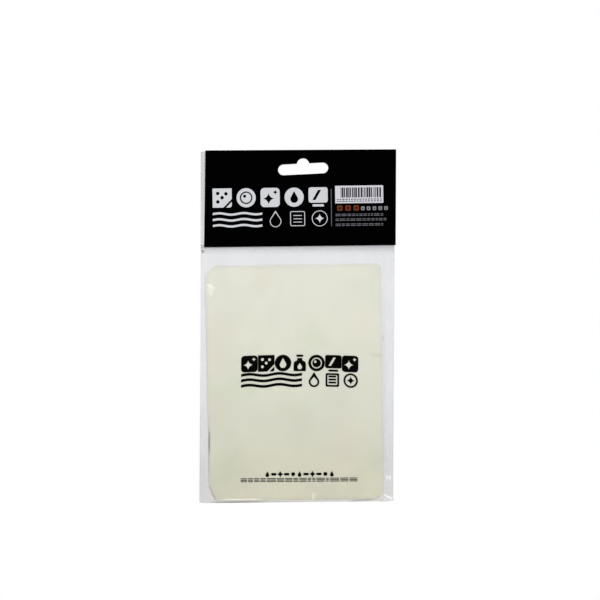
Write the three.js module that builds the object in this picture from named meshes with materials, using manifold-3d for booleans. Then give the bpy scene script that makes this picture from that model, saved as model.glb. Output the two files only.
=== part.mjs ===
import * as THREE from 'three';
import { mergeVertices } from 'three/addons/utils/BufferGeometryUtils.js';
import Module from 'manifold-3d';

// A chamois cloth in its hang-sell pouch: a flat cloth, a clear film pouch and a folded card header.
// Millimetres, +Z up, the front faces -Y. The origin is the hang point: the crown of the hang slot,
// halfway between the front and the back.

// Driving dimensions of the cloth
const clothWidth = 111;
const clothHeight = 148.6;
const clothThickness = 0.6;
const clothTopLeftRadius = 7;
const clothTopRightRadius = 2.5;
const clothBottomLeftRadius = 8;
const clothBottomRightRadius = 9;
const clothLeanDegrees = 0.8;

// Driving dimensions of the film pouch
const filmThickness = 0.1;
const pocketClearance = 0.2;
const clothLeftRoom = 3.3;
const clothRightRoom = 7.2;
const clothEdgeClearance = 0.5;
const weldWidth = 1;
const weldThickness = 0.3;
const weldFilmGap = 0.04;
const nickHeight = 1.2;
const nickDepth = 0.7;
const nickBelowHeader = 3.6;

// Driving dimensions of the card header
const cardThickness = 0.35;
const cardHeight = 61;
const cardLeftSetback = 3.1;
const cardRightOverhang = 0.2;
const headerToCloth = 10.7;
const creaseGap = 0.3;

// Driving dimensions of the hang slot
const slotLength = 32;
const slotHeight = 7.2;
const slotCrownRadius = 4.15;
const slotTotalHeight = 10.5;
const slotTiltDegrees = 2.4;
const slotCrownBelowCardTop = 5.3;
const slotFromCardLeft = 62.3;
const slotCutOverrun = 2;

// Driving dimensions of the tape strips
const tapeThickness = 0.1;
const tapeHeight = 10;
const tapeSideMargin = 6;
const tapeAboveCardBottom = 4;
const tapePeelGap = 0.05;

const arcSegments = 16;
const cornerSegments = 8;

// Layers, as distances from the middle plane
const clothHalf = clothThickness / 2;
const filmInner = clothHalf + pocketClearance;
const filmOuter = filmInner + filmThickness;
const tapeInner = filmOuter + tapePeelGap;
const leafInner = tapeInner + tapeThickness;
const leafOuter = leafInner + cardThickness;

// Heights, from the hang point down
const cardTop = slotCrownBelowCardTop;
const cardBottom = cardTop - cardHeight;
const creaseCentre = cardTop - leafOuter;
const mouthHeight = creaseCentre;
const clothLean = THREE.MathUtils.degToRad(clothLeanDegrees);
const clothCentreZ = cardBottom - headerToCloth - clothReach(clothHeight, clothWidth, clothTopRightRadius);
const foldCentre = clothCentreZ - clothReach(clothHeight, clothWidth, clothBottomLeftRadius);

// Places from left to right
const cardLeft = -slotFromCardLeft;
const pouchLeft = cardLeft - cardLeftSetback;
const clothCentreX = pouchLeft + clothLeftRoom + clothReach(clothWidth, clothHeight, clothTopLeftRadius);
const clothRight = clothCentreX + clothReach(clothWidth, clothHeight, clothBottomRightRadius);
const pouchRight = clothRight + clothRightRoom;
const cardRight = pouchRight + cardRightOverhang;
const wallLeft = pouchLeft + weldWidth;
const wallRight = pouchRight - weldWidth;
const flankWidth = clothLeftRoom - weldWidth - clothEdgeClearance;
const panelLeft = wallLeft + flankWidth;
const panelRight = wallRight - flankWidth;

// How far the leaning cloth reaches from its centre, past a corner of the given radius
function clothReach(length, crossLength, radius) {
  const straight = (length / 2 - radius) * Math.cos(clothLean);
  const leaned = (crossLength / 2 - radius) * Math.sin(clothLean);
  return straight + leaned + radius;
}

function finish(color, roughness, opacity = 1) {
  const transparent = opacity < 1;
  return new THREE.MeshStandardMaterial({ color, roughness, metalness: 0, transparent, opacity });
}

const clearFilm = finish(0xe3e5e8, 0.15, 0.35);
const fusedFilm = finish(0xd2d4d6, 0.25, 0.7);
const blackCard = finish(0x050507, 0.55);
const tissueTape = finish(0xe8e2cc, 0.6);
const creamSuede = finish(0xdddccb, 0.95);

const wasm = await Module();
wasm.setup();

// A shape drawn as (x, z), given a thickness from yFront to yBack
const faceOn = new THREE.Matrix4().set(1, 0, 0, 0, 0, 0, -1, 0, 0, 1, 0, 0, 0, 0, 0, 1);

// A section drawn as (y, z), swept along x
const endOn = new THREE.Matrix4().set(0, 0, 1, 0, 1, 0, 0, 0, 0, 1, 0, 0, 0, 0, 0, 1);

function extrude(shape, depth, curveSegments = arcSegments) {
  return new THREE.ExtrudeGeometry(shape, { depth, bevelEnabled: false, steps: 1, curveSegments });
}

function slab(shape, yFront, yBack, curveSegments) {
  const geometry = extrude(shape, yBack - yFront, curveSegments);
  geometry.applyMatrix4(faceOn);
  return geometry.translate(0, yBack, 0);
}

function sweepX(shape, xLeft, xRight) {
  const geometry = extrude(shape, xRight - xLeft);
  geometry.applyMatrix4(endOn);
  return geometry.translate(xLeft, 0, 0);
}

function sweepZ(shape, zLow, zHigh) {
  return extrude(shape, zHigh - zLow).translate(0, 0, zLow);
}

function polygon(points) {
  return new THREE.Shape(points.map(([u, v]) => new THREE.Vector2(u, v)));
}

function rectangle(left, right, low, high) {
  return polygon([[left, low], [right, low], [right, high], [left, high]]);
}

function toSolid(geometry) {
  const bare = geometry.clone();
  bare.deleteAttribute('normal');
  bare.deleteAttribute('uv');
  const merged = mergeVertices(bare);
  return new wasm.Manifold(new wasm.Mesh({
    numProp: 3,
    vertProperties: new Float32Array(merged.attributes.position.array),
    triVerts: new Uint32Array(merged.index.array),
  }));
}

function cut(geometry, tool) {
  const mesh = toSolid(geometry).subtract(toSolid(tool)).getMesh();
  const result = new THREE.BufferGeometry();
  result.setAttribute('position', new THREE.BufferAttribute(mesh.vertProperties, mesh.numProp));
  result.setIndex(new THREE.BufferAttribute(mesh.triVerts, 1));
  result.computeVertexNormals();
  return result;
}

// Joins closed rings of points, one after the other, and closes both ends
function loft(rings) {
  const count = rings[0].length;
  const last = (rings.length - 1) * count;
  const index = [];
  for (let ring = 0; ring < rings.length - 1; ring += 1) {
    for (let point = 0; point < count; point += 1) {
      const a = ring * count + point;
      const b = ring * count + (point + 1) % count;
      index.push(a, b, a + count);
      index.push(b, b + count, a + count);
    }
  }
  const flat = rings[0].map((point) => new THREE.Vector2(point.y, point.z));
  for (const [a, b, c] of THREE.ShapeUtils.triangulateShape(flat, [])) {
    index.push(c, b, a);
    index.push(last + a, last + b, last + c);
  }
  const geometry = new THREE.BufferGeometry().setFromPoints(rings.flat());
  geometry.setIndex(index);
  geometry.computeVertexNormals();
  return geometry;
}

// Hang slot: a long slot with a round crown over its middle, so that a hook centres itself
function slotTool() {
  const endRadius = slotHeight / 2;
  const middle = slotHeight / 2 - slotTotalHeight;
  const straight = slotLength / 2 - endRadius;
  const crownCentre = -slotCrownRadius;
  const slotTop = middle + endRadius;
  const crownHalf = Math.sqrt(slotCrownRadius ** 2 - (slotTop - crownCentre) ** 2);
  const crownStart = Math.atan2(slotTop - crownCentre, crownHalf);
  const outline = new THREE.Shape();
  outline.moveTo(-straight, middle - endRadius);
  outline.lineTo(straight, middle - endRadius);
  outline.absarc(straight, middle, endRadius, -Math.PI / 2, Math.PI / 2, false);
  outline.absarc(0, crownCentre, slotCrownRadius, crownStart, Math.PI - crownStart, false);
  outline.lineTo(-straight, slotTop);
  outline.absarc(-straight, middle, endRadius, Math.PI / 2, -Math.PI / 2, false);
  const half = leafOuter + slotCutOverrun;
  return slab(outline, -half, half).rotateY(-THREE.MathUtils.degToRad(slotTiltDegrees));
}

// Pouch wall: the flat stretch of film in front of the cloth or behind it
function pouchWall(side) {
  const faces = [side * filmInner, side * filmOuter].sort((a, b) => a - b);
  const outline = rectangle(panelLeft, panelRight, foldCentre, mouthHeight);
  return cut(slab(outline, ...faces), slotTool());
}

// Pouch flank: the narrow stretch of film that runs in from the flat wall to the weld
function pouchFlank(side, weldEdge, panelEdge) {
  const seam = weldFilmGap / 2;
  const section = polygon([
    [weldEdge, side * seam],
    [panelEdge, side * filmInner],
    [panelEdge, side * filmOuter],
    [weldEdge, side * (seam + filmThickness)],
  ]);
  return sweepZ(section, foldCentre, mouthHeight);
}

// Bottom fold: a half round of film that joins both walls, smaller where they run into the welds
function bottomFold() {
  const seam = weldFilmGap / 2;
  const stations = [
    [wallLeft, seam],
    [panelLeft, filmInner],
    [panelRight, filmInner],
    [wallRight, seam],
  ];
  const angles = Array.from({ length: arcSegments + 1 }, (_, step) => Math.PI * (1 + step / arcSegments));
  const rings = stations.map(([x, inner]) => {
    const arc = (radius, list) => list.map(
      (angle) => new THREE.Vector3(x, radius * Math.cos(angle), foldCentre + radius * Math.sin(angle)),
    );
    return [...arc(inner + filmThickness, angles), ...arc(inner, [...angles].reverse())];
  });
  return loft(rings);
}

// Side weld: both film layers fused into one bead by a hot knife, with an optional tear nick
function sideWeld(left, right, nicked) {
  const low = foldCentre - filmThickness - weldFilmGap / 2;
  const high = mouthHeight;
  const nickTip = cardBottom - nickBelowHeader;
  const nickTop = nickTip + nickHeight / 2;
  const nickFoot = nickTip - nickHeight / 2;
  const nick = nicked ? [[left, nickTop], [left + nickDepth, nickTip], [left, nickFoot]] : [];
  const outline = polygon([[left, high], ...nick, [left, low], [right, low], [right, high]]);
  return slab(outline, -weldThickness / 2, weldThickness / 2);
}

// One leaf of the card with its half of the crease, which bends over the pouch's mouth
function leafSection(side) {
  const gap = creaseGap / 2;
  const start = side < 0 ? Math.PI : 0;
  const outerEnd = Math.acos(side * gap / leafOuter);
  const innerEnd = Math.acos(side * gap / leafInner);
  const section = new THREE.Shape();
  section.moveTo(side * leafOuter, cardBottom);
  section.lineTo(side * leafOuter, creaseCentre);
  section.absarc(0, creaseCentre, leafOuter, start, outerEnd, side < 0);
  section.absarc(0, creaseCentre, leafInner, innerEnd, start, side > 0);
  section.lineTo(side * leafInner, cardBottom);
  return section;
}

function cardLeaf(side) {
  return cut(sweepX(leafSection(side), cardLeft, cardRight), slotTool());
}

function tapeStrip(side) {
  const left = cardLeft + tapeSideMargin;
  const right = cardRight - tapeSideMargin;
  const low = cardBottom + tapeAboveCardBottom;
  const outline = rectangle(left, right, low, low + tapeHeight);
  const faces = [side * tapeInner, side * leafInner].sort((a, b) => a - b);
  return slab(outline, ...faces);
}

// Cloth: one flat sheet, cut by hand with uneven round corners, leaning a little to the left
function cloth() {
  const quarter = Math.PI / 2;
  const corners = [
    [1, 1, clothTopRightRadius],
    [-1, 1, clothTopLeftRadius],
    [-1, -1, clothBottomLeftRadius],
    [1, -1, clothBottomRightRadius],
  ];
  const outline = new THREE.Shape();
  corners.forEach(([right, up, radius], corner) => {
    const centreX = right * (clothWidth / 2 - radius);
    const centreZ = up * (clothHeight / 2 - radius);
    outline.absarc(centreX, centreZ, radius, corner * quarter, (corner + 1) * quarter, false);
  });
  const geometry = slab(outline, -clothHalf, clothHalf, cornerSegments);
  return geometry.rotateY(-clothLean).translate(clothCentreX, 0, clothCentreZ);
}

function named(name, geometry, material) {
  const mesh = new THREE.Mesh(geometry, material.clone());
  mesh.name = name;
  return mesh;
}

const pouch = new THREE.Group();
pouch.add(named('bag_front_film', pouchWall(-1), clearFilm));
pouch.add(named('bag_back_film', pouchWall(1), clearFilm));
pouch.add(named('bag_front_left_flank', pouchFlank(-1, wallLeft, panelLeft), clearFilm));
pouch.add(named('bag_front_right_flank', pouchFlank(-1, wallRight, panelRight), clearFilm));
pouch.add(named('bag_back_left_flank', pouchFlank(1, wallLeft, panelLeft), clearFilm));
pouch.add(named('bag_back_right_flank', pouchFlank(1, wallRight, panelRight), clearFilm));
pouch.add(named('bag_left_weld', sideWeld(pouchLeft, wallLeft, true), fusedFilm));
pouch.add(named('bag_right_weld', sideWeld(wallRight, pouchRight, false), fusedFilm));
pouch.add(named('bag_bottom_fold', bottomFold(), clearFilm));

const header = new THREE.Group();
header.add(named('header_front_leaf', cardLeaf(-1), blackCard));
header.add(named('header_back_leaf', cardLeaf(1), blackCard));
header.add(named('header_front_tape', tapeStrip(-1), tissueTape));
header.add(named('header_back_tape', tapeStrip(1), tissueTape));

const pack = new THREE.Group();
pack.add(pouch);
pack.add(header);
pack.add(named('chamois_cloth', cloth(), creamSuede));

export default pack;
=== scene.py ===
import math

import bmesh
import bpy
import numpy as np
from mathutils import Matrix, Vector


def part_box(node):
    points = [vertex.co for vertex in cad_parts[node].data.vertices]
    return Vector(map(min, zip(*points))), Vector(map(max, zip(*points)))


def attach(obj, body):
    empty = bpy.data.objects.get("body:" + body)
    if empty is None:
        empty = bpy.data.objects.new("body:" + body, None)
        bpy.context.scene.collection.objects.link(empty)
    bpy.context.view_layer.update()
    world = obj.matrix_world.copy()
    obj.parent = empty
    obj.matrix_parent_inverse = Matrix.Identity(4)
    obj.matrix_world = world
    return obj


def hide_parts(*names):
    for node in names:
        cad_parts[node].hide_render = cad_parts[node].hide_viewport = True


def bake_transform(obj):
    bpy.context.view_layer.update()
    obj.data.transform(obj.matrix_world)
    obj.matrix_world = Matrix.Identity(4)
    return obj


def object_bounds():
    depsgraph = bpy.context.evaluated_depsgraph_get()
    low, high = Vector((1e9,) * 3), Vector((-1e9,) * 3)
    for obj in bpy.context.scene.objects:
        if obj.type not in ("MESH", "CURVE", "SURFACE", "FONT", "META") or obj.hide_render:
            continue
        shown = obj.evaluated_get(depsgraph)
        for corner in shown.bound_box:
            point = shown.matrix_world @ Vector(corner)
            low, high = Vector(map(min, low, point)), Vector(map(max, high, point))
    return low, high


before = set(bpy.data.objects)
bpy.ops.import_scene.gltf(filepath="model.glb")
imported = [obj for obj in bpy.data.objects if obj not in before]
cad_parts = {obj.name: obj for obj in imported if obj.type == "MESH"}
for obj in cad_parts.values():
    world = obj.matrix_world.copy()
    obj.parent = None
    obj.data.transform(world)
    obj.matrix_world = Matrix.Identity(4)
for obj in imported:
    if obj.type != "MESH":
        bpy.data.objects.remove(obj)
cad_low, cad_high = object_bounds()
MM = 0.001

# Film pouch: one length of clear film, 0.05 mm thick, folded in half at the bottom and welded along both
# sides, with its mouth at the top. One punch cuts the hang slot through both walls. The film lies close
# to the cloth, ripples a little and keeps the creases of its handling. Shadows along the cloth's edges,
# under the card and at the creases, and highlights and reflections at the creases, are painted on the
# film, and it is made clearer over the cloth, which paints the cloth lighter.

left_weld_low, left_weld_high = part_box("bag_left_weld")
right_weld_low, right_weld_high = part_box("bag_right_weld")
wall_low, wall_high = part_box("bag_front_film")
card_low, card_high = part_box("header_front_leaf")

pouch_left = left_weld_low.x
pouch_right = right_weld_high.x
mouth_height = wall_high.z
fold_height = wall_low.z
card_bottom = card_low.z
film_left = (left_weld_low.x + left_weld_high.x) / 2
film_right = (right_weld_low.x + right_weld_high.x) / 2

cloth_low, cloth_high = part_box("chamois_cloth")
cloth_middle_x = (cloth_low.x + cloth_high.x) / 2
cloth_middle_z = (cloth_low.z + cloth_high.z) / 2
cloth_width = 111 * MM
cloth_height = 148.6 * MM
cloth_lean = math.radians(0.8)

film_thickness = 0.05 * MM
film_gap = 0.5 * MM
film_seam_gap = 0.04 * MM
left_flank_width = 2.3 * MM
right_flank_width = 5.4 * MM
film_waist = 0.06 * MM
film_waist_middle = card_bottom - 5 * MM
film_waist_height = 6 * MM
slow_ripple = 0.045 * MM
fine_ripple = 0.018 * MM
ripple_free_height = 14 * MM

# The pouch's outline leans a little: how far its left and right edge move across and its bottom moves up
edge_lean_length = 160 * MM
left_edge_lean = -0.8 * MM
right_edge_lean = -0.8 * MM
bottom_lean_length = 60 * MM
bottom_left_drop = -0.8 * MM
bottom_right_drop = 0.3 * MM

# Creases of the front wall and the light and shade painted on it, in millimetres: middle x and z, degrees
# from the horizontal, half length, half width and rise, and last the tone, which is below 0 for a painted
# shadow, as along the cloth's edges and under its bottom edge, and above 0 for painted highlights and
# reflections; rows with no rise are painted shadow alone
creases_and_painted_light = (
    (-58.7, -179.0, 90, 5.9, 0.34, 0.15, -0.36),
    (-57.4, -179.5, 91, 8.0, 0.50, 0.10, 0.04),
    (-59.1, -185.8, 90.6, 21.0, 0.55, 0.00, -0.11),
    (-56.5, -210.6, 112, 4.8, 0.60, 0.00, -0.13),
    (-60.9, -128.0, 91.2, 34.0, 1.00, 0.00, -0.05),
    (-62.2, -83.5, 90, 11.5, 0.50, 0.00, -0.09),
    (-58.7, -83.6, 90, 4.0, 2.40, 0.10, 0.14),
    (-58.4, -80.8, -24, 2.9, 0.80, 0.20, 0.14),
    (-63.1, -202.0, 90, 16, 3.00, 0.00, -0.04),
    (-41.2, -216.45, 0, 14.2, 0.36, 0.00, -0.58),
    (-25.3, -216.45, 0, 27.0, 0.36, 0.00, -0.12),
    (-38.5, -214.75, 0, 13.0, 0.38, 0.00, 0.27),
    (37.6, -215.85, 2.5, 8.5, 0.42, 0.00, -0.22),
    (53.3, -202.0, 90, 1.7, 0.35, 0.20, 0.24),
    (55.2, -202.0, 90, 1.7, 0.40, 0.15, 0.28),
    (54.1, -214.1, -31, 2.5, 0.30, 0.35, 0.95),
    (52.4, -215.3, -20, 0.8, 0.40, 0.20, 0.25),
    (56.2, -213.9, -31, 0.8, 0.40, 0.20, 0.20),
    (48.4, -213.9, 45, 1.2, 0.70, 0.00, -0.07),
    (6.9, -213.4, 86, 2.6, 0.45, 0.25, 0.20),
    (8.4, -212.6, 80, 2.2, 0.40, 0.18, 0.12),
    (46.3, -124.1, 0, 3.2, 0.42, 0.12, -0.15),
    (43.1, -123.0, 90, 1.6, 0.40, 0.10, -0.08),
    (50.3, -113.6, 88, 1.6, 0.50, 0.15, -0.13),
    (53.0, -112.9, 60, 1.8, 1.00, 0.10, 0.04),
    (51.2, -136.0, 90.9, 74.0, 1.60, 0.00, -0.055),
    (-63.5, -59.1, 24, 0.9, 0.50, 0.20, -0.70),
)


def smooth_step(share):
    """0 below 0, 1 above 1 and a soft slope between them."""
    share = np.clip(share, 0, 1)
    return share * share * (3 - 2 * share)


def crease_lift_and_painted_light(x, z):
    """How far the creases lift the front wall, and the tone of the light and shade painted on it."""
    lift = np.zeros_like(x)
    tone = np.zeros_like(x)
    for middle_x, middle_z, angle, half_length, half_width, rise, shade in creases_and_painted_light:
        right = x - middle_x * MM
        up = z - middle_z * MM
        cos, sin = math.cos(math.radians(angle)), math.sin(math.radians(angle))
        along = (right * cos + up * sin) / (half_length * MM)
        across = (up * cos - right * sin) / (half_width * MM)
        form = np.exp(-across**2 - along**4)
        lift += rise * MM * form
        tone += shade * form
    return lift, tone


def wall_place(x, z, side):
    """Where a wall of the pouch lies: its x, its distance from the middle plane, its z and its painted
    shading.
    """
    flank = smooth_step((x - film_left) / left_flank_width)
    flank = flank * smooth_step((film_right - x) / right_flank_width)
    free = flank * smooth_step((card_bottom - z) / ripple_free_height)
    slow = np.sin(52 * x + 31 * z + side) * np.sin(44 * z - 17 * x + 2 * side)
    fine = np.sin(210 * x - 95 * z + 3 * side) * np.sin(160 * z + 60 * x)
    waist = np.exp(-(((z - film_waist_middle) / film_waist_height) ** 2))
    gap = film_seam_gap + (film_gap - film_seam_gap) * flank
    gap += free * (slow_ripple * slow + fine_ripple * fine) - flank * film_waist * waist
    lift, tone = crease_lift_and_painted_light(x, z)
    if side > 0:
        lift, tone = 0.3 * lift, 0 * tone
    gap += smooth_step(flank * 6) * lift
    across = (x - pouch_left) / (pouch_right - pouch_left)
    down = smooth_step((card_bottom - z) / edge_lean_length)
    low = smooth_step((fold_height + bottom_lean_length - z) / bottom_lean_length)
    moved_x = x + down * (down * left_edge_lean * (1 - across) + right_edge_lean * across)
    moved_z = z + low * (bottom_left_drop + (bottom_right_drop - bottom_left_drop) * across)
    return moved_x, gap, moved_z, tone


def graded(start, *stretches):
    """Places along a line; each stretch is (its end, the number of cells up to it)."""
    places = [start]
    for stop, cells in stretches:
        places += list(np.linspace(places[-1], stop, cells + 1)[1:])
    return np.array(places)


def flat_grid(columns, rows):
    """A flat grid with its lines at the given places."""
    bm = bmesh.new()
    across, along = len(columns) - 1, len(rows) - 1
    bmesh.ops.create_grid(bm, x_segments=across, y_segments=along, size=0.5)
    for vert in bm.verts:
        column = round((vert.co.x + 0.5) * across)
        row = round((vert.co.y + 0.5) * along)
        vert.co = (columns[column], rows[row], 0)
    return bm


def arc(u, v, radius, start, stop, steps):
    """Points of an arc round (u, v), with its angles in degrees."""
    angles = np.radians(np.linspace(start, stop, steps + 1))
    return [(u + radius * math.cos(a), v + radius * math.sin(a)) for a in angles]


def slot_outline(grow):
    """The hang slot, as (x, z) points: a long slot with a round crown over its middle, a little tilted."""
    length, height, total_height = 32 * MM, 7.2 * MM, 10.5 * MM
    crown_radius = 4.15 * MM
    aside = -0.75 * MM
    tilt = math.radians(2.4)
    middle = height / 2 - total_height
    straight = (length - height) / 2
    rise = middle + height / 2 + grow + crown_radius
    crown_start = math.degrees(math.asin(rise / (crown_radius + grow)))
    points = arc(straight, middle, height / 2 + grow, -90, 90, 16)
    points += arc(0, -crown_radius, crown_radius + grow, crown_start, 180 - crown_start, 16)
    points += arc(-straight, middle, height / 2 + grow, 90, 270, 16)
    cos, sin = math.cos(tilt), math.sin(tilt)
    return [(x * cos - z * sin + aside, x * sin + z * cos) for x, z in points]


def closed_line(bm, points):
    """A closed line of edges through (u, v) points."""
    verts = [bm.verts.new((u, v, 0)) for u, v in points]
    return [bm.edges.new(pair) for pair in zip(verts, verts[1:] + verts[:1])]


def punch(bm, outline, room):
    """Cuts an outline out of a flat grid: the faces round it give way to a fill that ends at the cut."""
    us, vs = zip(*outline)
    near = set()
    for face in bm.faces:
        u, v, _ = face.calc_center_median()
        if min(us) - room < u < max(us) + room and min(vs) - room < v < max(vs) + room:
            near.add(face)
    edges = {edge for face in near for edge in face.edges}
    rim = [edge for edge in edges if len(near.intersection(edge.link_faces)) == 1]
    bmesh.ops.delete(bm, geom=list(near), context="FACES")
    rim += closed_line(bm, outline)
    bmesh.ops.triangle_fill(bm, edges=rim, use_beauty=True, normal=(0, 0, 1))


def finished(bm, name, *materials):
    """The bmesh as a smooth object at the origin, with its materials."""
    mesh = bpy.data.meshes.new(name)
    bm.to_mesh(mesh)
    bm.free()
    for material in materials:
        mesh.materials.append(material)
    mesh.shade_smooth()
    piece = bpy.data.objects.new(name, mesh)
    bpy.context.scene.collection.objects.link(piece)
    return piece


def settle(piece, sharp_angle=40):
    """Makes the piece's modifiers part of its mesh, and keeps its sharp edges crisp."""
    evaluated = piece.evaluated_get(bpy.context.evaluated_depsgraph_get())
    mesh = bpy.data.meshes.new_from_object(evaluated)
    piece.modifiers.clear()
    piece.data = mesh
    mesh.name = piece.name
    mesh.set_sharp_from_angle(angle=math.radians(sharp_angle))


def thicken(piece, thickness, offset=0.0, other_side=0, rim=0):
    """Gives a sheet its thickness; other_side and rim are steps to those faces' materials."""
    solid = piece.modifiers.new("thickness", "SOLIDIFY")
    solid.thickness = thickness
    solid.offset = offset
    solid.use_even_offset = True
    solid.material_offset = other_side
    solid.material_offset_rim = rim


def shader_of(name, **sockets):
    """A new material and its Principled shader, with constant values set on the shader's own sockets."""
    material = bpy.data.materials.new(name)
    material.use_nodes = True
    shader = material.node_tree.nodes["Principled BSDF"]
    for socket, value in sockets.items():
        shader.inputs[socket.replace("_", " ")].default_value = value
    return material, shader


def add(material, kind, values=None, links=None, **settings):
    """A new node with values for and links to its inputs, which are given by name or by number."""
    node = material.node_tree.nodes.new("ShaderNode" + kind)
    for name, value in settings.items():
        setattr(node, name, value)
    for socket, value in (values or {}).items():
        node.inputs[socket].default_value = value
    for socket, source in (links or {}).items():
        material.node_tree.links.new(source, node.inputs[socket])
    return node


def join(material, source, shader, socket):
    """Links a node's output to a shader's input."""
    material.node_tree.links.new(source, shader.inputs[socket])


def place_of(material):
    """The piece's own coordinates."""
    return add(material, "TexCoord").outputs["Object"]


def noise(material, place, scale, detail=3.0, roughness=0.5):
    """Cloudy noise; scale is its number of waves in a metre."""
    values = {"Scale": scale, "Detail": detail, "Roughness": roughness}
    return add(material, "TexNoise", values, {"Vector": place}).outputs["Fac"]


def between(material, value, low, high, to_low, to_high, smooth=True):
    """Takes a value from low...high to to_low...to_high, and no further."""
    values = {"From Min": low, "From Max": high, "To Min": to_low, "To Max": to_high}
    kind = "SMOOTHSTEP" if smooth else "LINEAR"
    return add(material, "MapRange", values, {"Value": value}, interpolation_type=kind).outputs["Result"]


def maths(material, operation, first, second):
    """A sum of two values, of which either may be a number."""
    node = add(material, "Math", operation=operation)
    for socket, value in enumerate((first, second)):
        if isinstance(value, (int, float)):
            node.inputs[socket].default_value = value
        else:
            material.node_tree.links.new(value, node.inputs[socket])
    return node.outputs["Value"]


def ramp(material, value, *stops):
    """Colours for a value from 0 to 1; each stop is (position, colour)."""
    node = add(material, "ValToRGB", links={"Fac": value})
    for _ in stops[2:]:
        node.color_ramp.elements.new(0.5)
    for element, (position, colour) in zip(node.color_ramp.elements, stops):
        element.position = position
        element.color = (*colour, 1)
    return node.outputs["Color"]


def mixed(material, factor, first, second, blend="MIX"):
    """A mix of two colours, each a node's output or three numbers."""
    node = add(material, "Mix", data_type="RGBA", blend_type=blend)
    for socket, value in (("Factor_Float", factor), ("A_Color", first), ("B_Color", second)):
        target = next(entry for entry in node.inputs if entry.identifier == socket)
        if isinstance(value, float):
            target.default_value = value
        elif isinstance(value, tuple):
            target.default_value = (*value, 1)
        else:
            material.node_tree.links.new(value, target)
    return next(entry for entry in node.outputs if entry.identifier == "Result_Color")


def bump(material, height, strength, distance, shader):
    """Raises the shader's surface by a height."""
    values = {"Strength": strength, "Distance": distance}
    node = add(material, "Bump", values, {"Height": height})
    join(material, node.outputs["Normal"], shader, "Normal")


haze_even_height = card_bottom - 40 * MM
card_shade_low = card_bottom - 6 * MM
card_shade_fade = 2 * MM
left_strip_fade = 5 * MM
low_tint_foot = fold_height + 20 * MM
low_tint_head = fold_height + 48 * MM
low_tint = (0.96, 0.92, 0.85)
film_grain = 0.02 * MM

# Over the cloth the film is made clearer, a painted lightening that lets the cloth show lighter through it:
# by how much, over what width, and within what corners
cloth_lightening = 0.04
cloth_lightening_fade = 3 * MM
cloth_lightening_corner = 8.5 * MM
cloth_lightening_sharp_corner = 2.5 * MM

clear_film, shader = shader_of("clear_film", IOR=1.9, Specular_IOR_Level=0.5)
place = place_of(clear_film)
separate = add(clear_film, "SeparateXYZ", links={"Vector": place})
across, height = separate.outputs["X"], separate.outputs["Z"]
painted_light_and_shade = add(clear_film, "Attribute", attribute_name="painted_light_and_shade").outputs["Fac"]
# The film is hazier towards the bottom.
haze_and_painted_shade = between(clear_film, height, fold_height, haze_even_height, 0.2, 0.13)
# Painted shadow: the film greys just below the card's lower edge, where the card's shadow falls, and the
# strip of film left of the card greys towards the mouth.
near_card = between(clear_film, height, card_shade_low, card_bottom, 0.0, 0.5, smooth=False)
shade = maths(clear_film, "MULTIPLY", near_card, near_card)
below_card = between(clear_film, height, card_bottom, card_bottom + card_shade_fade, 1.0, 0.0)
up_the_card = between(clear_film, height, card_bottom, mouth_height, 0.08, 0.8, smooth=False)
left_strip = between(clear_film, across, card_low.x, card_low.x + left_strip_fade, 1.0, 0.25)
up_the_card = maths(clear_film, "MULTIPLY", up_the_card, left_strip)
by_card = maths(clear_film, "ADD", below_card, up_the_card)
card_shadow_and_strip_grey = maths(clear_film, "MULTIPLY", shade, by_card)
smears = between(clear_film, noise(clear_film, place, 32.0), 0.35, 0.7, -0.008, 0.012)
haze_and_painted_shade = maths(clear_film, "ADD", maths(clear_film, "ADD", haze_and_painted_shade, card_shadow_and_strip_grey), smears)
# Painted lightening: the film is clearer within the cloth's outline.
cloth_frame = {"Location": (cloth_middle_x, 0, cloth_middle_z), "Rotation": (0, -cloth_lean, 0)}
to_cloth = add(clear_film, "Mapping", cloth_frame, {"Vector": place}, vector_type="TEXTURE")
on_cloth = add(clear_film, "SeparateXYZ", links={"Vector": to_cloth.outputs["Vector"]}).outputs
at_right = maths(clear_film, "GREATER_THAN", on_cloth["X"], 0)
at_top = maths(clear_film, "GREATER_THAN", on_cloth["Z"], 0)
at_sharp = maths(clear_film, "MULTIPLY", at_right, at_top)
sharper = maths(clear_film, "MULTIPLY", at_sharp, cloth_lightening_corner - cloth_lightening_sharp_corner)
corner = maths(clear_film, "SUBTRACT", cloth_lightening_corner, sharper)
past = []
for axis, half_size in (("X", cloth_width / 2), ("Z", cloth_height / 2)):
    past_edge = maths(clear_film, "SUBTRACT", maths(clear_film, "ABSOLUTE", on_cloth[axis], 0), half_size)
    past_corner = maths(clear_film, "MAXIMUM", maths(clear_film, "ADD", past_edge, corner), 0)
    past.append(maths(clear_film, "MULTIPLY", past_corner, past_corner))
from_corner = maths(clear_film, "SQRT", maths(clear_film, "ADD", *past), 0)
outside = maths(clear_film, "SUBTRACT", from_corner, corner)
clearing = between(clear_film, outside, -cloth_lightening_fade, 0, cloth_lightening, 0.0)
haze_and_painted_shade = maths(clear_film, "SUBTRACT", haze_and_painted_shade, clearing)
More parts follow.
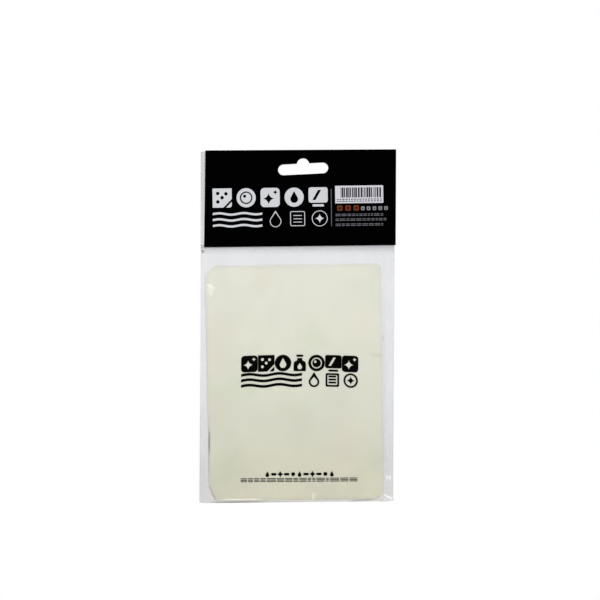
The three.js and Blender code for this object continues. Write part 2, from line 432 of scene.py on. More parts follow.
# Painted light: the tone raises the film's alpha and the ramp colours it, painting shadows dark and
# highlights and reflections white.
strength = maths(clear_film, "MULTIPLY", maths(clear_film, "ABSOLUTE", painted_light_and_shade, 0), 0.42)
join(clear_film, maths(clear_film, "ADD", haze_and_painted_shade, strength), shader, "Alpha")
tone = maths(clear_film, "MULTIPLY_ADD", painted_light_and_shade, 0.5)
tone.node.inputs[2].default_value = 0.5
film_grey, painted_shadow_colour, painted_highlight_colour = (0.437, 0.447, 0.477), (0.03, 0.03, 0.03), (0.98, 0.98, 0.98)
film_colours = (0.42, painted_shadow_colour), (0.49, film_grey), (0.51, film_grey), (0.58, painted_highlight_colour)
low_down = between(clear_film, height, low_tint_foot, low_tint_head, 1.0, 0.0)
low_down = maths(clear_film, "MULTIPLY", low_down, between(clear_film, painted_light_and_shade, 0.05, 0.3, 1.0, 0.0))
film_colour = ramp(clear_film, tone, *film_colours)
film_colour = mixed(clear_film, low_down, film_colour, low_tint, "MULTIPLY")
join(clear_film, film_colour, shader, "Base Color")
dull = between(clear_film, noise(clear_film, place, 60.0), 0.3, 0.7, 0.08, 0.17)
join(clear_film, dull, shader, "Roughness")
bump(clear_film, noise(clear_film, place, 420.0, 2.0), 0.12, film_grain, shader)

wall_length = mouth_height - fold_height
fold_length = math.pi * film_gap
film_length = 2 * wall_length + fold_length

# The grid is finest at both sides, below the card and low down, where the creases lie
film_columns = graded(
    film_left, (-53 * MM, 40), (4 * MM, 38), (10 * MM, 12), (43 * MM, 22), (film_right, 48)
)
film_rows = graded(
    0, (56 * MM, 24), (70 * MM, 14), (203 * MM, 84), (wall_length, 60), (wall_length + fold_length, 8),
    (wall_length + fold_length + 12 * MM, 10), (film_length, 70)
)
slot_room = 1.5 * MM
film_slot_grow = 0.1 * MM
bm = flat_grid(film_columns, film_rows)
film_slot = slot_outline(film_slot_grow)
punch(bm, [(x, mouth_height - z) for x, z in film_slot], slot_room)
punch(bm, [(x, film_length - mouth_height + z) for x, z in film_slot], slot_room)
painted_light_layer = bm.verts.layers.float.new("painted_light_and_shade")
flat = np.array([vert.co for vert in bm.verts])
front = wall_place(flat[:, 0], np.maximum(mouth_height - flat[:, 1], fold_height), -1)
back = wall_place(flat[:, 0], np.maximum(mouth_height - film_length + flat[:, 1], fold_height), 1)
turn = np.clip((flat[:, 1] - wall_length) / fold_length, 0, 1)
for index, vert in enumerate(bm.verts):
    share = turn[index]
    side = front if share < 0.5 else back
    gap = (1 - share) * front[1][index] + share * back[1][index]
    drop = gap * math.sin(math.pi * share)
    vert.co = (side[0][index], -gap * math.cos(math.pi * share), side[2][index] - drop)
    vert[painted_light_layer] = side[3][index]
bmesh.ops.reverse_faces(bm, faces=bm.faces)
film_pouch = finished(bm, "film_pouch", clear_film)
thicken(film_pouch, film_thickness)
settle(film_pouch)
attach(film_pouch, "pouch")
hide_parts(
    "bag_front_film", "bag_back_film", "bag_bottom_fold", "bag_front_left_flank",
    "bag_front_right_flank", "bag_back_left_flank", "bag_back_right_flank"
)

# Side welds: a hot knife cuts and fuses both layers of the film at once, which leaves a thin uneven bead
# along each edge. The left bead is torn a little way in, just below the header.

weld_half_thickness = 0.14 * MM
weld_sides = 12
weld_rows = 300
nick_tip = card_bottom - 3.6 * MM
nick_half_height = 0.6 * MM
nick_depth = 0.7 * MM
bead_grain = 0.05 * MM

film_weld, shader = shader_of("film_weld", Roughness=0.25, IOR=1.5)
place = place_of(film_weld)
beads = noise(film_weld, place, 500.0, 2.0)
join(film_weld, between(film_weld, beads, 0.3, 0.7, 0.06, 0.08), shader, "Alpha")
weld_colours = (0.3, (0.74, 0.75, 0.77)), (0.7, (0.82, 0.83, 0.85))
join(film_weld, ramp(film_weld, beads, *weld_colours), shader, "Base Color")
bump(film_weld, beads, 0.15, bead_grain, shader)


def weld_bead(name, node, low, high, torn):
    """A weld's bead from the mouth to the fold, rippled along its length."""
    bm = flat_grid(graded(0, (1, weld_sides)), graded(low.z, (high.z, weld_rows)))
    half_width = (high.x - low.x) / 2
    for vert in bm.verts:
        turn, z = vert.co.x * 2 * math.pi, vert.co.y
        swell = 1 + 0.04 * math.sin(260 * z) + 0.015 * math.sin(1100 * z + 1)
        x = (low.x + high.x) / 2 + half_width * swell * math.cos(turn)
        if torn:
            bite = max(0, 1 - abs(z - nick_tip) / nick_half_height)
            x = max(x, low.x + bite * nick_depth)
        moved = wall_place(np.array([x]), np.array([z]), -1)
        vert.co = (moved[0][0], weld_half_thickness * swell * math.sin(turn), moved[2][0])
    bmesh.ops.remove_doubles(bm, verts=bm.verts, dist=0.001 * MM)
    bmesh.ops.holes_fill(bm, edges=[edge for edge in bm.edges if edge.is_boundary], sides=0)
    bmesh.ops.recalc_face_normals(bm, faces=bm.faces)
    bead = finished(bm, name, film_weld)
    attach(bead, "pouch")
    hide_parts(node)


weld_bead("left_weld_bead", "bag_left_weld", left_weld_low, left_weld_high, True)
weld_bead("right_weld_bead", "bag_right_weld", right_weld_low, right_weld_high, False)

# Chamois cloth: one piece of pale cream suede, cut by hand to 111 by 149 mm with uneven round corners and
# laid flat in the pouch with its lower edge on the fold. It leans a little and its tanning leaves it faintly
# mottled. It is painted paler along its edges, as the film's reflection where it lifts off them would make
# them, and paler at the top and more yellow towards the bottom, as the film's reflection pales its top.

cloth_thickness = 0.54 * MM
cloth_wave = 0.03 * MM
cloth_rim = 6 * MM
cloth_edge_wobble = 0.12 * MM
cloth_left_taper = 0.7 * MM
cloth_bottom_lift = -0.4 * MM
cloth_edge_round = 0.16 * MM
# How far in from each edge the painted paleness reaches
cloth_left_paleness = 2.5 * MM
cloth_right_paleness = 3.5 * MM
cloth_top_paleness = 2 * MM
cloth_nap = 0.12 * MM

# Each corner's reach across and up and its roundness, by whether it is on the right and whether it is at the
# top; a roundness of 2 would make it an arc, and 1 a straight cut
cloth_corners = {
    (False, True): (7.5 * MM, 7.5 * MM, 1.5),
    (True, True): (2.5 * MM, 2.5 * MM, 1.5),
    (False, False): (4.9 * MM, 10 * MM, 1.5),
    (True, False): (5.1 * MM, 5.1 * MM, 1.2),
}

chamois, shader = shader_of("chamois", Roughness=0.95, Sheen_Weight=0.12, Sheen_Roughness=0.6)
place = place_of(chamois)
height = add(chamois, "SeparateXYZ", links={"Vector": place}).outputs["Z"]
# Painted light: the cloth is paler at the top and more yellow towards the bottom, standing in for the film's
# reflection that pales its top.
down = between(chamois, height, cloth_high.z, cloth_low.z, 0.0, 1.0, smooth=False)
cloth_shaded_colours = (0, (0.791, 0.786, 0.673)), (0.55, (0.758, 0.759, 0.612)), (1, (0.782, 0.766, 0.566))
colour = ramp(chamois, down, *cloth_shaded_colours)
warm = between(chamois, noise(chamois, place, 26.0, 4.0), 0.48, 0.72, 0.0, 0.5)
colour = mixed(chamois, warm, colour, (0.774, 0.702, 0.558))
moved = add(chamois, "Mapping", {"Location": (0.3, 0.1, 0.2)}, {"Vector": place}).outputs["Vector"]
green = between(chamois, noise(chamois, moved, 34.0, 4.0), 0.5, 0.75, 0.0, 0.5)
colour = mixed(chamois, green, colour, (0.65, 0.702, 0.504))
# Painted reflection: the edges are painted paler, as the film lifting off them would make them.
painted_pale_edge = add(chamois, "Attribute", attribute_name="paleness").outputs["Fac"]
paleness = maths(chamois, "MULTIPLY", painted_pale_edge, 0.45)
colour = mixed(chamois, paleness, colour, (0.84, 0.84, 0.79))
nap = noise(chamois, place, 1500.0, 5.0, 0.6)
nap_colour = ramp(chamois, nap, (0.3, (0.955, 0.955, 0.945)), (0.7, (1, 1, 1)))
join(chamois, mixed(chamois, 1.0, colour, nap_colour, "MULTIPLY"), shader, "Base Color")
bump(chamois, nap, 0.35, cloth_nap, shader)

half_width, half_height = cloth_width / 2, cloth_height / 2
bm = flat_grid(
    graded(-half_width, (cloth_rim - half_width, 12), (half_width - cloth_rim, 70), (half_width, 12)),
    graded(-half_height, (cloth_rim - half_height, 12), (half_height - cloth_rim, 98), (half_height, 12))
)
paleness_layer = bm.verts.layers.float.new("paleness")
for vert in bm.verts:
    u, v = vert.co.x, vert.co.y
    pale_width = cloth_right_paleness if u > 0 else cloth_left_paleness
    inner_share = smooth_step((half_width - abs(u)) / pale_width)
    vert[paleness_layer] = 1 - inner_share * smooth_step((half_height - v) / cloth_top_paleness)
    across = max(0, abs(u) - (half_width - cloth_rim)) / cloth_rim
    along = max(0, abs(v) - (half_height - cloth_rim)) / cloth_rim
    reach_u, reach_v, roundness = cloth_corners[u > 0, v > 0]
    corner_u = max(0, abs(u) - (half_width - reach_u)) / reach_u
    corner_v = max(0, abs(v) - (half_height - reach_v)) / reach_v
    if corner_u and corner_v:
        shrink = max(corner_u, corner_v) / (corner_u**roundness + corner_v**roundness) ** (1 / roundness)
        u = math.copysign(half_width - reach_u + corner_u * shrink * reach_u, u)
        v = math.copysign(half_height - reach_v + corner_v * shrink * reach_v, v)
    u += cloth_edge_wobble * across * (math.sin(130 * v) + 0.4 * math.sin(410 * v + 1))
    v += cloth_edge_wobble * along * (math.sin(150 * u + 2) + 0.4 * math.sin(370 * u))
    right_share, top_share = u / cloth_width + 0.5, v / cloth_height + 0.5
    u += cloth_left_taper * (1 - right_share) * (1 - top_share) ** 2
    v += (1 - top_share) * cloth_bottom_lift * right_share
    wave = math.sin(60 * u + 20 * v) * math.sin(45 * v - 25 * u + 1)
    x = cloth_middle_x + u * math.cos(cloth_lean) - v * math.sin(cloth_lean)
    z = cloth_middle_z + u * math.sin(cloth_lean) + v * math.cos(cloth_lean)
    vert.co = (x, cloth_wave * wave, z)
chamois_cloth = finished(bm, "chamois_sheet", chamois)
thicken(chamois_cloth, cloth_thickness)
soft_edge = chamois_cloth.modifiers.new("soft_edge", "BEVEL")
soft_edge.width = cloth_edge_round
soft_edge.segments = 2
soft_edge.limit_method = "ANGLE"
settle(chamois_cloth, 60)
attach(chamois_cloth, "cloth")
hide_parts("chamois_cloth")

# Tape strips: two lengths of double-sided tissue tape that hold the card's leaves to the film. They are
# torn off over a saw-tooth blade, so their ends are ragged.

tape_teeth = 7
tape_tooth = 0.7 * MM
tape_columns = 80
tissue_grain = 0.05 * MM

mounting_tape, shader = shader_of("mounting_tape", Roughness=0.55)
place = place_of(mounting_tape)
tissue = noise(mounting_tape, place, 700.0, 5.0, 0.65)
tape_colours = (0.3, (0.70, 0.67, 0.55)), (0.7, (0.86, 0.84, 0.74))
join(mounting_tape, ramp(mounting_tape, tissue, *tape_colours), shader, "Base Color")
bump(mounting_tape, tissue, 0.3, tissue_grain, shader)


def tape_strip(name, node, body):
    """A strip of tape with ragged ends, which fills its node's place."""
    low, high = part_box(node)
    middle = (low.x + high.x) / 2
    rows = graded(low.z, (high.z, 2 * tape_teeth))
    bm = flat_grid(graded(low.x, (high.x, tape_columns)), rows)
    for vert in bm.verts:
        row = int(np.argmin(np.abs(rows - vert.co.y)))
        ragged = tape_tooth * (row % 2) * (abs(vert.co.x - middle) / (high.x - middle)) ** 40
        x = vert.co.x - math.copysign(ragged, vert.co.x - middle)
        vert.co = (x, (low.y + high.y) / 2, vert.co.y)
    tape = finished(bm, name, mounting_tape)
    thicken(tape, high.y - low.y)
    settle(tape)
    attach(tape, body)
    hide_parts(node)


tape_strip("front_tape", "header_front_tape", "header")
tape_strip("back_tape", "header_back_tape", "header_back")

# Card header: one strip of 0.35 mm board, printed black outside and left bare inside, creased over the
# pouch's mouth. The same punch as the film's cuts its slot, and its lower edges stand off the film a little.

card_thickness = 0.35 * MM
card_outer = -card_low.y
card_middle = card_outer - card_thickness / 2
crease_height = card_high.z - card_outer
leaf_length = crease_height - card_bottom
crease_length = math.pi * card_middle
card_edge_round = 0.05 * MM
card_flare = 0.28 * MM
card_flare_height = 4.5 * MM
card_slot_grow = -0.2 * MM
card_slot_drop = -0.05 * MM
card_wear_width = 0.7 * MM
ink_grain = 0.03 * MM
board_grain = 0.04 * MM

# The card sits a little askew: how far each corner lies from a true rectangle's, across and up
card_top_left = (0.4 * MM, -0.4 * MM)
card_top_right = (0.3 * MM, 0.3 * MM)
card_bottom_left = (-0.4 * MM, -0.7 * MM)
card_bottom_right = (0, 0.7 * MM)


def card_place(x, z):
    """A place on the card, moved as the card sits askew."""
    across = (x - card_low.x) / (card_high.x - card_low.x)
    down = (card_high.z - z) / (card_high.z - card_low.z)
    moves = []
    for axis in (0, 1):
        top = card_top_left[axis] + (card_top_right[axis] - card_top_left[axis]) * across
        bottom = card_bottom_left[axis] + (card_bottom_right[axis] - card_bottom_left[axis]) * across
        moves.append(top + (bottom - top) * down)
    return x + moves[0], z + moves[1]


def card_stand_off(z):
    """How far the lower edge of a leaf bends away from the film."""
    return card_flare * max(0, 1 - (z - card_bottom) / card_flare_height) ** 2


def edge_wear(material, uv):
    """1 at the card's outer edges and 0 a little way in, along its flat blank."""
    parts = add(material, "SeparateXYZ", links={"Vector": uv})
    from_side = maths(material, "ABSOLUTE", parts.outputs["X"], 0)
    side = between(material, from_side, blank_half_width - card_wear_width, blank_half_width, 0.0, 1.0)
    from_end = maths(material, "ABSOLUTE", parts.outputs["Y"], 0)
    end = between(material, from_end, blank_half_length - card_wear_width, blank_half_length, 0.0, 1.0)
    return maths(material, "MAXIMUM", side, end)


blank_half_width = (card_high.x - card_low.x) / 2
blank_half_length = leaf_length + crease_length / 2
card_middle_x = (card_low.x + card_high.x) / 2

black_ink, shader = shader_of("header_black_ink", Specular_IOR_Level=0.004)
uv = add(black_ink, "UVMap", uv_map="blank").outputs["UV"]
fibre = noise(black_ink, uv, 1400.0, 4.0)
scuffs = between(black_ink, noise(black_ink, uv, 260.0, 5.0, 0.7), 0.52, 0.68, 0.0, 1.0)
wear = maths(black_ink, "MULTIPLY", edge_wear(black_ink, uv), scuffs)
ink_colours = (0, (0.0001, 0.0001, 0.0003)), (1, (0.05, 0.05, 0.055))
join(black_ink, ramp(black_ink, wear, *ink_colours), shader, "Base Color")
join(black_ink, between(black_ink, fibre, 0.3, 0.7, 0.42, 0.56), shader, "Roughness")
bump(black_ink, fibre, 0.15, ink_grain, shader)

bare_board, shader = shader_of("header_bare_board", Roughness=0.85, Specular_IOR_Level=0.3)
uv = add(bare_board, "UVMap", uv_map="blank").outputs["UV"]
fibre = noise(bare_board, uv, 900.0, 6.0, 0.65)
board_colours = (0.3, (0.50, 0.48, 0.44)), (0.7, (0.66, 0.64, 0.60))
join(bare_board, ramp(bare_board, fibre, *board_colours), shader, "Base Color")
bump(bare_board, fibre, 0.25, board_grain, shader)

bm = flat_grid(
    graded(card_low.x, (card_high.x, 64)),
    graded(
        -blank_half_length, (card_flare_height - blank_half_length, 6), (-crease_length / 2, 26),
        (crease_length / 2, 14), (blank_half_length - card_flare_height, 26), (blank_half_length, 6)
    )
)
card_slot = slot_outline(card_slot_grow)
to_front = crease_length / 2 + crease_height
punch(bm, [(x, z - card_slot_drop - to_front) for x, z in card_slot], slot_room)
punch(bm, [(x, to_front + card_slot_drop - z) for x, z in card_slot], slot_room)
uv_layer = bm.loops.layers.uv.new("blank")
for face in bm.faces:
    for loop in face.loops:
        loop[uv_layer].uv = (loop.vert.co.x - card_middle_x, loop.vert.co.y)
for vert in bm.verts:
    x, along = vert.co.x, vert.co.y
    turn = min(max(along / card_middle, -math.pi / 2), math.pi / 2)
    z = crease_height + card_middle * math.cos(turn) - max(0, abs(along) - crease_length / 2)
    y = card_middle * math.sin(turn) + math.copysign(card_stand_off(z), along)
    moved_x, moved_z = card_place(x, z)
    vert.co = (moved_x, y, moved_z)
card_header = finished(bm, "card_header", black_ink, bare_board)
thicken(card_header, card_thickness, other_side=1, rim=1)
crisp_edge = card_header.modifiers.new("crisp_edge", "BEVEL")
crisp_edge.width = card_edge_round
crisp_edge.segments = 2
crisp_edge.limit_method = "ANGLE"
crisp_edge.angle_limit = math.radians(50)
settle(card_header)
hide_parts("header_front_leaf", "header_back_leaf")
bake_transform(card_header)

# Print on the header: silver care motifs beside a thin rule, and a white label patch with plain bars above
# small orange and grey marks. Each is a thin coat of ink on the front leaf.

print_tilt = math.radians(0.7)
ink_thickness = 0.012 * MM
ink_lift = 0.004 * MM
ink_cell = 3 * MM
print_grain = 0.02 * MM


def filled(bm, *outlines):
    """A flat region inside the first outline, with the others as holes in it."""
    edges = [edge for outline in outlines for edge in closed_line(bm, outline)]
    bmesh.ops.triangle_fill(bm, edges=edges, use_beauty=True, normal=(0, 0, 1))


def circle(u, v, radius, steps=40):
    """A circle's points."""
    return arc(u, v, radius, 0, 360, steps)[:-1]


def rounded(left, low, right, high, radius):
    """A rectangle with round corners."""
    points = arc(right - radius, high - radius, radius, 0, 90, 6)
    points += arc(left + radius, high - radius, radius, 90, 180, 6)
    points += arc(left + radius, low + radius, radius, 180, 270, 6)
    return points + arc(right - radius, low + radius, radius, 270, 360, 6)


def star(u, v, radius):
    """A four-pointed star with hollow sides."""
    points = []
    for angle in np.radians(np.arange(0, 360, 9)):
        cos, sin = math.cos(angle), math.sin(angle)
        reach_u, reach_v = abs(cos) ** 3.4 * radius, abs(sin) ** 3.4 * radius
        points.append((u + math.copysign(reach_u, cos), v + math.copysign(reach_v, sin)))
    return points


def drop(u, low, width, height):
    """A drop with its tip up."""
    radius = width / 2
    rise = math.degrees(math.asin(radius / (height - radius)))
    return [(u, low + height)] + arc(u, low + radius, radius, 180 - rise, 360 + rise, 30)


def wave(left, low, length, thickness, swing, turns):
    """A wavy stripe of one thickness all along."""
    steps = np.linspace(0, 1, 12 * turns + 1)
    upper = [(left + s * length, low + thickness + swing * math.sin(2 * math.pi * turns * s)) for s in steps]
    lower = [(left + s * length, low + swing * math.sin(2 * math.pi * turns * s)) for s in steps]
    return lower + upper[::-1]


def scaled(outline, left, low, width, height):
    """A unit outline at its place and size."""
    return [(left + u * width, low + v * height) for u, v in outline]


# Motifs in a unit square, each a list of regions, each region an outline and its holes
cloth_motif = [
    [
        [(0, 0), (0.56, 0), (1, 0.44), (1, 1), (0, 1)],
        circle(0.27, 0.74, 0.09),
        circle(0.7, 0.72, 0.09),
        circle(0.27, 0.3, 0.09),
        circle(0.5, 0.52, 0.09),
    ],
    [[(0.7, 0.0), (1, 0.3), (1, 0.08), (0.92, 0.0)]],
]
lens_motif = [
    [circle(0.5, 0.5, 0.5), circle(0.5, 0.5, 0.33)],
    [circle(0.5, 0.5, 0.26), circle(0.42, 0.58, 0.08)],
]
shine_motif = [[rounded(0, 0, 1, 1, 0.2), star(0.42, 0.44, 0.32), star(0.77, 0.77, 0.15)]]
drop_motif = [[circle(0.5, 0.5, 0.5), drop(0.5, 0.2, 0.4, 0.62)]]
screen_motif = [
    [rounded(0, 0.2, 1, 1, 0.12), [(0.2, 0.34), (0.36, 0.34), (0.66, 0.86), (0.5, 0.86)]],
    [rounded(0.2, 0, 0.8, 0.12, 0.05)],
]
bottle_right = [(0.87, 0), (0.87, 0.46), (0.84, 0.55), (0.77, 0.61), (0.68, 0.65), (0.65, 0.7), (0.65, 0.8)]
bottle_left = [(1 - u, v) for u, v in bottle_right]
bottle_motif = [
    [bottle_right + bottle_left[::-1], drop(0.5, 0.11, 0.28, 0.38)],
    [rounded(0.29, 0.87, 0.71, 1, 0.04)],
]
tip_motif = [[drop(0.5, 0.04, 0.62, 0.94)]]
dot_motif = [[circle(0.5, 0.5, 0.33)]]
glint_motif = [[star(0.5, 0.5, 0.64)]]
dash_motif = [[rounded(0.04, 0.29, 0.96, 0.71, 0.2)]]


def motif_row(bm, motifs, left, low, length, height):
    """A row of square motifs, evenly spaced along the length."""
    step = (length - height) / (len(motifs) - 1)
    for index, motif in enumerate(motifs):
        for region in motif:
            filled(bm, *[scaled(outline, left + index * step, low, height, height) for outline in region])


def stripes_and_outlines(bm, left, low, length, height, bold_share, stripe_share, line):
    """Three bold wiping stripes, and beside them three motifs in thin outline."""
    bold = length * bold_share
    stripe = height * stripe_share
    for index in range(3):
        filled(bm, wave(left, low + height * (0.05 + 0.36 * index), bold, stripe, stripe * 0.35, 2))
    thin_left = left + bold + height * 0.3
    step = (left + length - thin_left - height) / 2
    inner = line / height
    low_side, high_side = 0.05, 0.95
    in_low, in_high = low_side + inner, high_side - inner
    box = rounded(low_side, low_side, high_side, high_side, 0.1)
    outlines = [
        (drop(0.5, 0, 0.7, 1), drop(0.5, inner, 0.7 - 2 * inner, 1 - 3.6 * inner)),
        (box, rounded(in_low, in_low, in_high, in_high, 0.05)),
        (circle(0.5, 0.5, 0.48), circle(0.5, 0.5, 0.48 - inner)),
    ]
    for index, pair in enumerate(outlines):
        filled(bm, *[scaled(outline, thin_left + index * step, low, height, height) for outline in pair])
    centre = thin_left + 2 * step + height / 2
    filled(bm, star(centre, low + height / 2, height * 0.3))
    bar = thin_left + step + height * 0.24
    for index in range(3):
        bar_low = low + height * (0.27 + 0.2 * index)
        filled(bm, rounded(bar, bar_low, bar + height * 0.52, bar_low + line, line * 0.4))


def word_marks(bm, left, low, length, height, seed, strokes=2, shortest=1.2 * MM, longest=3.6 * MM):
    """A line of small marks of uneven length, each of a few thin strokes, like small print from afar."""
    lengths = np.random.default_rng(seed)
    line = height / (2 * strokes - 1)
    u = left
    while u < left + length - shortest:
        stop = min(u + lengths.uniform(shortest, longest), left + length)
        for stroke in range(strokes):
            stroke_low = low + 2 * line * stroke
            filled(bm, rounded(u, stroke_low, stop, stroke_low + line, line * 0.3))
        u = stop + mark_gap


def printed(bm, name, surface, body, material):
    """Lays flat ink on a surface, which gives the place of each (u, v) point, and gives it its thickness."""
    for axis, across in enumerate(((1, 0, 0), (0, 1, 0))):
        low = min(vert.co[axis] for vert in bm.verts)
        high = max(vert.co[axis] for vert in bm.verts)
        for step in range(1, int((high - low) / ink_cell) + 1):
            place = [low + step * ink_cell if axis == index else 0 for index in range(3)]
            everything = [*bm.verts, *bm.edges, *bm.faces]
            bmesh.ops.bisect_plane(bm, geom=everything, dist=1e-7, plane_co=place, plane_no=across)
    for vert in bm.verts:
        vert.co = surface(vert.co.x, vert.co.y)
    piece = finished(bm, name, material)
    thicken(piece, ink_thickness, offset=1.0)
    settle(piece)
    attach(piece, body)
    return piece


def on_card(u, v):
    """The front leaf's face, with the print turned a little as the card is."""
    x = title_left + (u - title_left) * math.cos(print_tilt) - (v - title_low) * math.sin(print_tilt)
    z = title_low + (u - title_left) * math.sin(print_tilt) + (v - title_low) * math.cos(print_tilt)
    return x, -card_outer - card_stand_off(z) - ink_lift, z


def on_label(u, v):
    """The same face a layer further out, for ink on the white patch."""
    x, y, z = on_card(u, v)
    return x, y - ink_thickness - ink_lift, z


title_left = -57.1 * MM
title_low = -44.1 * MM
title_length = 72.6 * MM
title_height = 12.1 * MM
title_rise = 12.7 * MM
second_height = 10.4 * MM
second_bold_share = 0.43
second_stripe_share = 0.13
thin_line = 0.45 * MM
rule_left = 17.5 * MM
rule_width = 0.42 * MM
rule_low = -43.9 * MM
rule_high = -20.4 * MM
label_left = 20.2 * MM
label_right = 50.5 * MM
label_low = -29.6 * MM
label_high = -18.5 * MM
bars_left = 23.7 * MM
bars_right = 49.4 * MM
bars_low = -26.0 * MM
bars_high = -19.7 * MM
bar_unit = 0.36 * MM
bar_gap_share = 0.85
mark_gap = 0.6 * MM
digits_left = label_left + 1.2 * MM
digits_low = label_low + 1.0 * MM
digits_length = 28 * MM
digits_height = 1.8 * MM
digit_widths = {"shortest": 0.9 * MM, "longest": 1.6 * MM}
orange_left = 21.3 * MM
orange_low = -34.3 * MM
orange_step = 5.2 * MM
orange_size = 3.4 * MM
pale_left = 36.4 * MM
pale_low = -34.1 * MM
pale_step = 3.65 * MM
pale_width = 2.3 * MM
pale_height = 2.4 * MM
pale_round = 0.5 * MM
grey_left = 20.3 * MM
grey_height = 1.4 * MM
grey_lines = ((-37.6 * MM, 30.0 * MM, 5), (-40.6 * MM, 33.0 * MM, 8), (-43.8 * MM, 31.0 * MM, 9))

silver_ink, shader = shader_of("header_silver_ink", Metallic=0.25, Roughness=0.42)
place = place_of(silver_ink)
speckle = noise(silver_ink, place, 2600.0, 3.0)
silver_colours = (0.3, (0.43, 0.44, 0.46)), (0.7, (0.54, 0.55, 0.57))
join(silver_ink, ramp(silver_ink, speckle, *silver_colours), shader, "Base Color")
bump(silver_ink, speckle, 0.1, print_grain, shader)
bm = bmesh.new()
header_motifs = [cloth_motif, lens_motif, shine_motif, drop_motif, screen_motif]
motif_row(bm, header_motifs, title_left, title_low + title_rise, title_length, title_height)
stripes_and_outlines(
    bm, title_left, title_low, title_length, second_height, second_bold_share, second_stripe_share, thin_line
)
printed(bm, "header_silver_print", on_card, "header", silver_ink)


def plain_ink(name, dark, light, scale=2200.0, **sockets):
    """An ink whose grain runs from the dark to the light colour."""
    material, shader = shader_of(name, **sockets)
    place = place_of(material)
    grain = noise(material, place, scale, 3.0)
    join(material, ramp(material, grain, (0.3, dark), (0.7, light)), shader, "Base Color")
    bump(material, grain, 0.1, print_grain, shader)
    return material


low_gloss = {"Roughness": 0.5, "Specular_IOR_Level": 0.1}
label_white = plain_ink("label_white_ink", (0.47, 0.47, 0.51), (0.55, 0.55, 0.59), Roughness=0.5)
label_dark = plain_ink("label_bar_ink", (0.01, 0.01, 0.016), (0.03, 0.03, 0.04), **low_gloss)
orange_ink = plain_ink("header_orange_ink", (0.08, 0.014, 0.004), (0.16, 0.03, 0.009), **low_gloss)
pale_ink = plain_ink("header_pale_ink", (0.12, 0.12, 0.14), (0.20, 0.20, 0.22), Roughness=0.5)
grey_ink = plain_ink("header_grey_ink", (0.05, 0.05, 0.062), (0.105, 0.105, 0.12), Roughness=0.5)

bm = bmesh.new()
filled(bm, rounded(label_left, label_low, label_right, label_high, 0.3 * MM))
printed(bm, "header_label_patch", on_card, "header", label_white)

bm = bmesh.new()
widths = np.random.default_rng(11)
u = bars_left
while u < bars_right:
    width = bar_unit * widths.integers(1, 4)
    filled(bm, [(u, bars_low), (u + width, bars_low), (u + width, bars_high), (u, bars_high)])
    u += width + bar_unit * bar_gap_share * widths.integers(1, 3)
word_marks(bm, digits_left, digits_low, digits_length, digits_height, seed=3, **digit_widths)
printed(bm, "header_label_bars", on_label, "header", label_dark)

bm = bmesh.new()
for index in range(3):
    left = orange_left + index * orange_step
    hole = circle(left + orange_size / 2, orange_low + orange_size / 2, orange_size * 0.2, 16)
    mark = rounded(left, orange_low, left + orange_size, orange_low + orange_size, orange_size * 0.2)
    filled(bm, mark, hole)
printed(bm, "header_orange_marks", on_card, "header", orange_ink)

bm = bmesh.new()
filled(bm, rounded(rule_left, rule_low, rule_left + rule_width, rule_high, rule_width * 0.4))
for low, length, seed in grey_lines:
    word_marks(bm, grey_left, low, length, grey_height, seed)
printed(bm, "header_grey_marks", on_card, "header", grey_ink)

bm = bmesh.new()
for index in range(5):
    left = pale_left + index * pale_step
    hole = circle(left + pale_width / 2, pale_low + pale_height / 2, pale_round, 12)
    filled(bm, rounded(left, pale_low, left + pale_width, pale_low + pale_height, pale_round), hole)
printed(bm, "header_pale_marks", on_card, "header", pale_ink)

# Print on the film: the same kind of motifs in black, screen-printed on the front wall over the cloth, and
# two short lines of small marks near the bottom. The film's ripples bend the rows a little.

film_title_left = -39.1 * MM
film_title_length = 74.0 * MM
film_title_low = -144.9 * MM
film_title_rise = 10.05 * MM
film_title_height = 10.4 * MM
film_second_height = 9.5 * MM
film_second_bold_share = 0.52
film_stripe_share = 0.18
film_thin_line = 1.15 * MM
film_print_arch = 0.9 * MM
film_small_print_top = -198 * MM
small_row_left = -23.9 * MM
small_row_low = -201.0 * MM
small_row_length = 44.4 * MM
small_row_height = 3.7 * MM
small_line_left = -38.9 * MM
small_line_low = -203.9 * MM
small_line_length = 73.8 * MM
small_line_height = 2.3 * MM
small_line_widths = {"shortest": 1.8 * MM, "longest": 6.0 * MM}

film_ink = plain_ink(
    "film_black_ink", (0.0004, 0.0004, 0.0004), (0.002, 0.002, 0.0015),
    Roughness=0.45, Specular_IOR_Level=0.01
)


def on_film(u, v):
    """The front wall's face, with the rows arched as the film's slack arches them."""
    from_middle = (u - film_title_left) / film_title_length * 2 - 1
    near_title = smooth_step((v - film_small_print_top) / (film_title_low - film_small_print_top))
    v = v + film_print_arch * near_title * (0.5 - from_middle**2)
    x, gap, z, _ = wall_place(np.array([u]), np.array([v]), -1)
    return x[0], -gap[0] - film_thickness / 2 - ink_lift, z[0]


bm = bmesh.new()
film_motifs = [shine_motif, cloth_motif, drop_motif, bottle_motif, lens_motif, screen_motif, shine_motif]
motif_row(
    bm, film_motifs, film_title_left, film_title_low + film_title_rise, film_title_length, film_title_height
)
stripes_and_outlines(
    bm, film_title_left, film_title_low, film_title_length, film_second_height, film_second_bold_share,
    film_stripe_share, film_thin_line
)
small_marks = [tip_motif, dash_motif, glint_motif, dash_motif, dot_motif]
small_marks = 2 * small_marks + small_marks[:1]
motif_row(bm, small_marks, small_row_left, small_row_low, small_row_length, small_row_height)
word_marks(
    bm, small_line_left, small_line_low, small_line_length, small_line_height,
    seed=6, strokes=3, **small_line_widths
)
printed(bm, "film_black_print", on_film, "pouch", film_ink)

# Studio: a pale floor below the hanging pack, soft lamps in front and behind, and white all round.

floor_height = -0.45
floor_radius = 0.62
camera_distance = 0.894
camera_x = -0.002209
camera_z = -0.089534

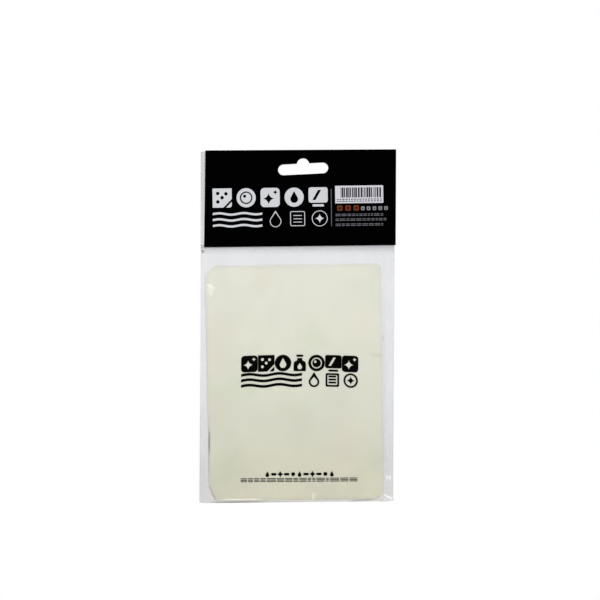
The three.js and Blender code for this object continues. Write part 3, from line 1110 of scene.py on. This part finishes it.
floor_paint, shader = shader_of("studio_floor", Roughness=0.9)
place = place_of(floor_paint)
blotch = noise(floor_paint, place, 3.0, 2.0)
floor_colours = (0.3, (0.78, 0.78, 0.78)), (0.7, (0.82, 0.82, 0.82))
join(floor_paint, ramp(floor_paint, blotch, *floor_colours), shader, "Base Color")
from_middle = add(floor_paint, "VectorMath", links={0: place}, operation="LENGTH").outputs["Value"]
cover = between(floor_paint, from_middle, 0.5 * floor_radius, floor_radius, 1.0, 0.0)
join(floor_paint, cover, shader, "Alpha")
bm = bmesh.new()
bmesh.ops.create_circle(bm, cap_ends=True, segments=96, radius=floor_radius)
floor = finished(bm, "studio_floor", floor_paint)
floor.location.z = floor_height

world = bpy.data.worlds.new("studio_white")
bpy.context.scene.world = world
world.use_nodes = True
ambient = world.node_tree.nodes["Background"]
ambient.inputs["Color"].default_value = (0.55, 0.55, 0.555, 1)
seen = add(world, "Background", {"Color": (1, 1, 1, 1)})
rays = add(world, "LightPath")
sight = maths(world, "MAXIMUM", rays.outputs["Is Camera Ray"], rays.outputs["Is Glossy Ray"])
sight = maths(world, "MAXIMUM", sight, rays.outputs["Is Transmission Ray"])
choice = add(world, "MixShader", links={"Fac": sight, 1: ambient.outputs[0], 2: seen.outputs[0]})
world.node_tree.links.new(choice.outputs[0], world.node_tree.nodes["World Output"].inputs["Surface"])


def soft_lamp(name, place, width, height, power):
    """An area lamp that faces the pack's middle."""
    lamp = bpy.data.lights.new(name, "AREA")
    lamp.shape = "RECTANGLE"
    lamp.size = width
    lamp.size_y = height
    lamp.energy = power
    holder = bpy.data.objects.new(name, lamp)
    holder.location = place
    middle = (cad_low + cad_high) / 2
    holder.rotation_euler = (middle - holder.location).to_track_quat("-Z", "Y").to_euler()
    bpy.context.scene.collection.objects.link(holder)


soft_lamp("key_lamp", (-0.823, -1.425, 0.683), 1.05, 1.05, 18.6)
soft_lamp("side_lamp", (0.75, -0.85, 0.05), 0.4, 0.9, 3.6)
soft_lamp("rear_lamp", (0.5, 1.0, 0.4), 0.8, 0.8, 9.5)

camera = bpy.data.objects.new("camera", bpy.data.cameras.new("camera"))
camera.data.lens = 85
camera.data.sensor_width = 36
camera.location = (camera_x, -camera_distance, camera_z)
camera.rotation_euler = (math.radians(90), 0, 0)
bpy.context.scene.collection.objects.link(camera)
bpy.context.scene.camera = camera
bpy.context.scene.view_settings.view_transform = "Standard"
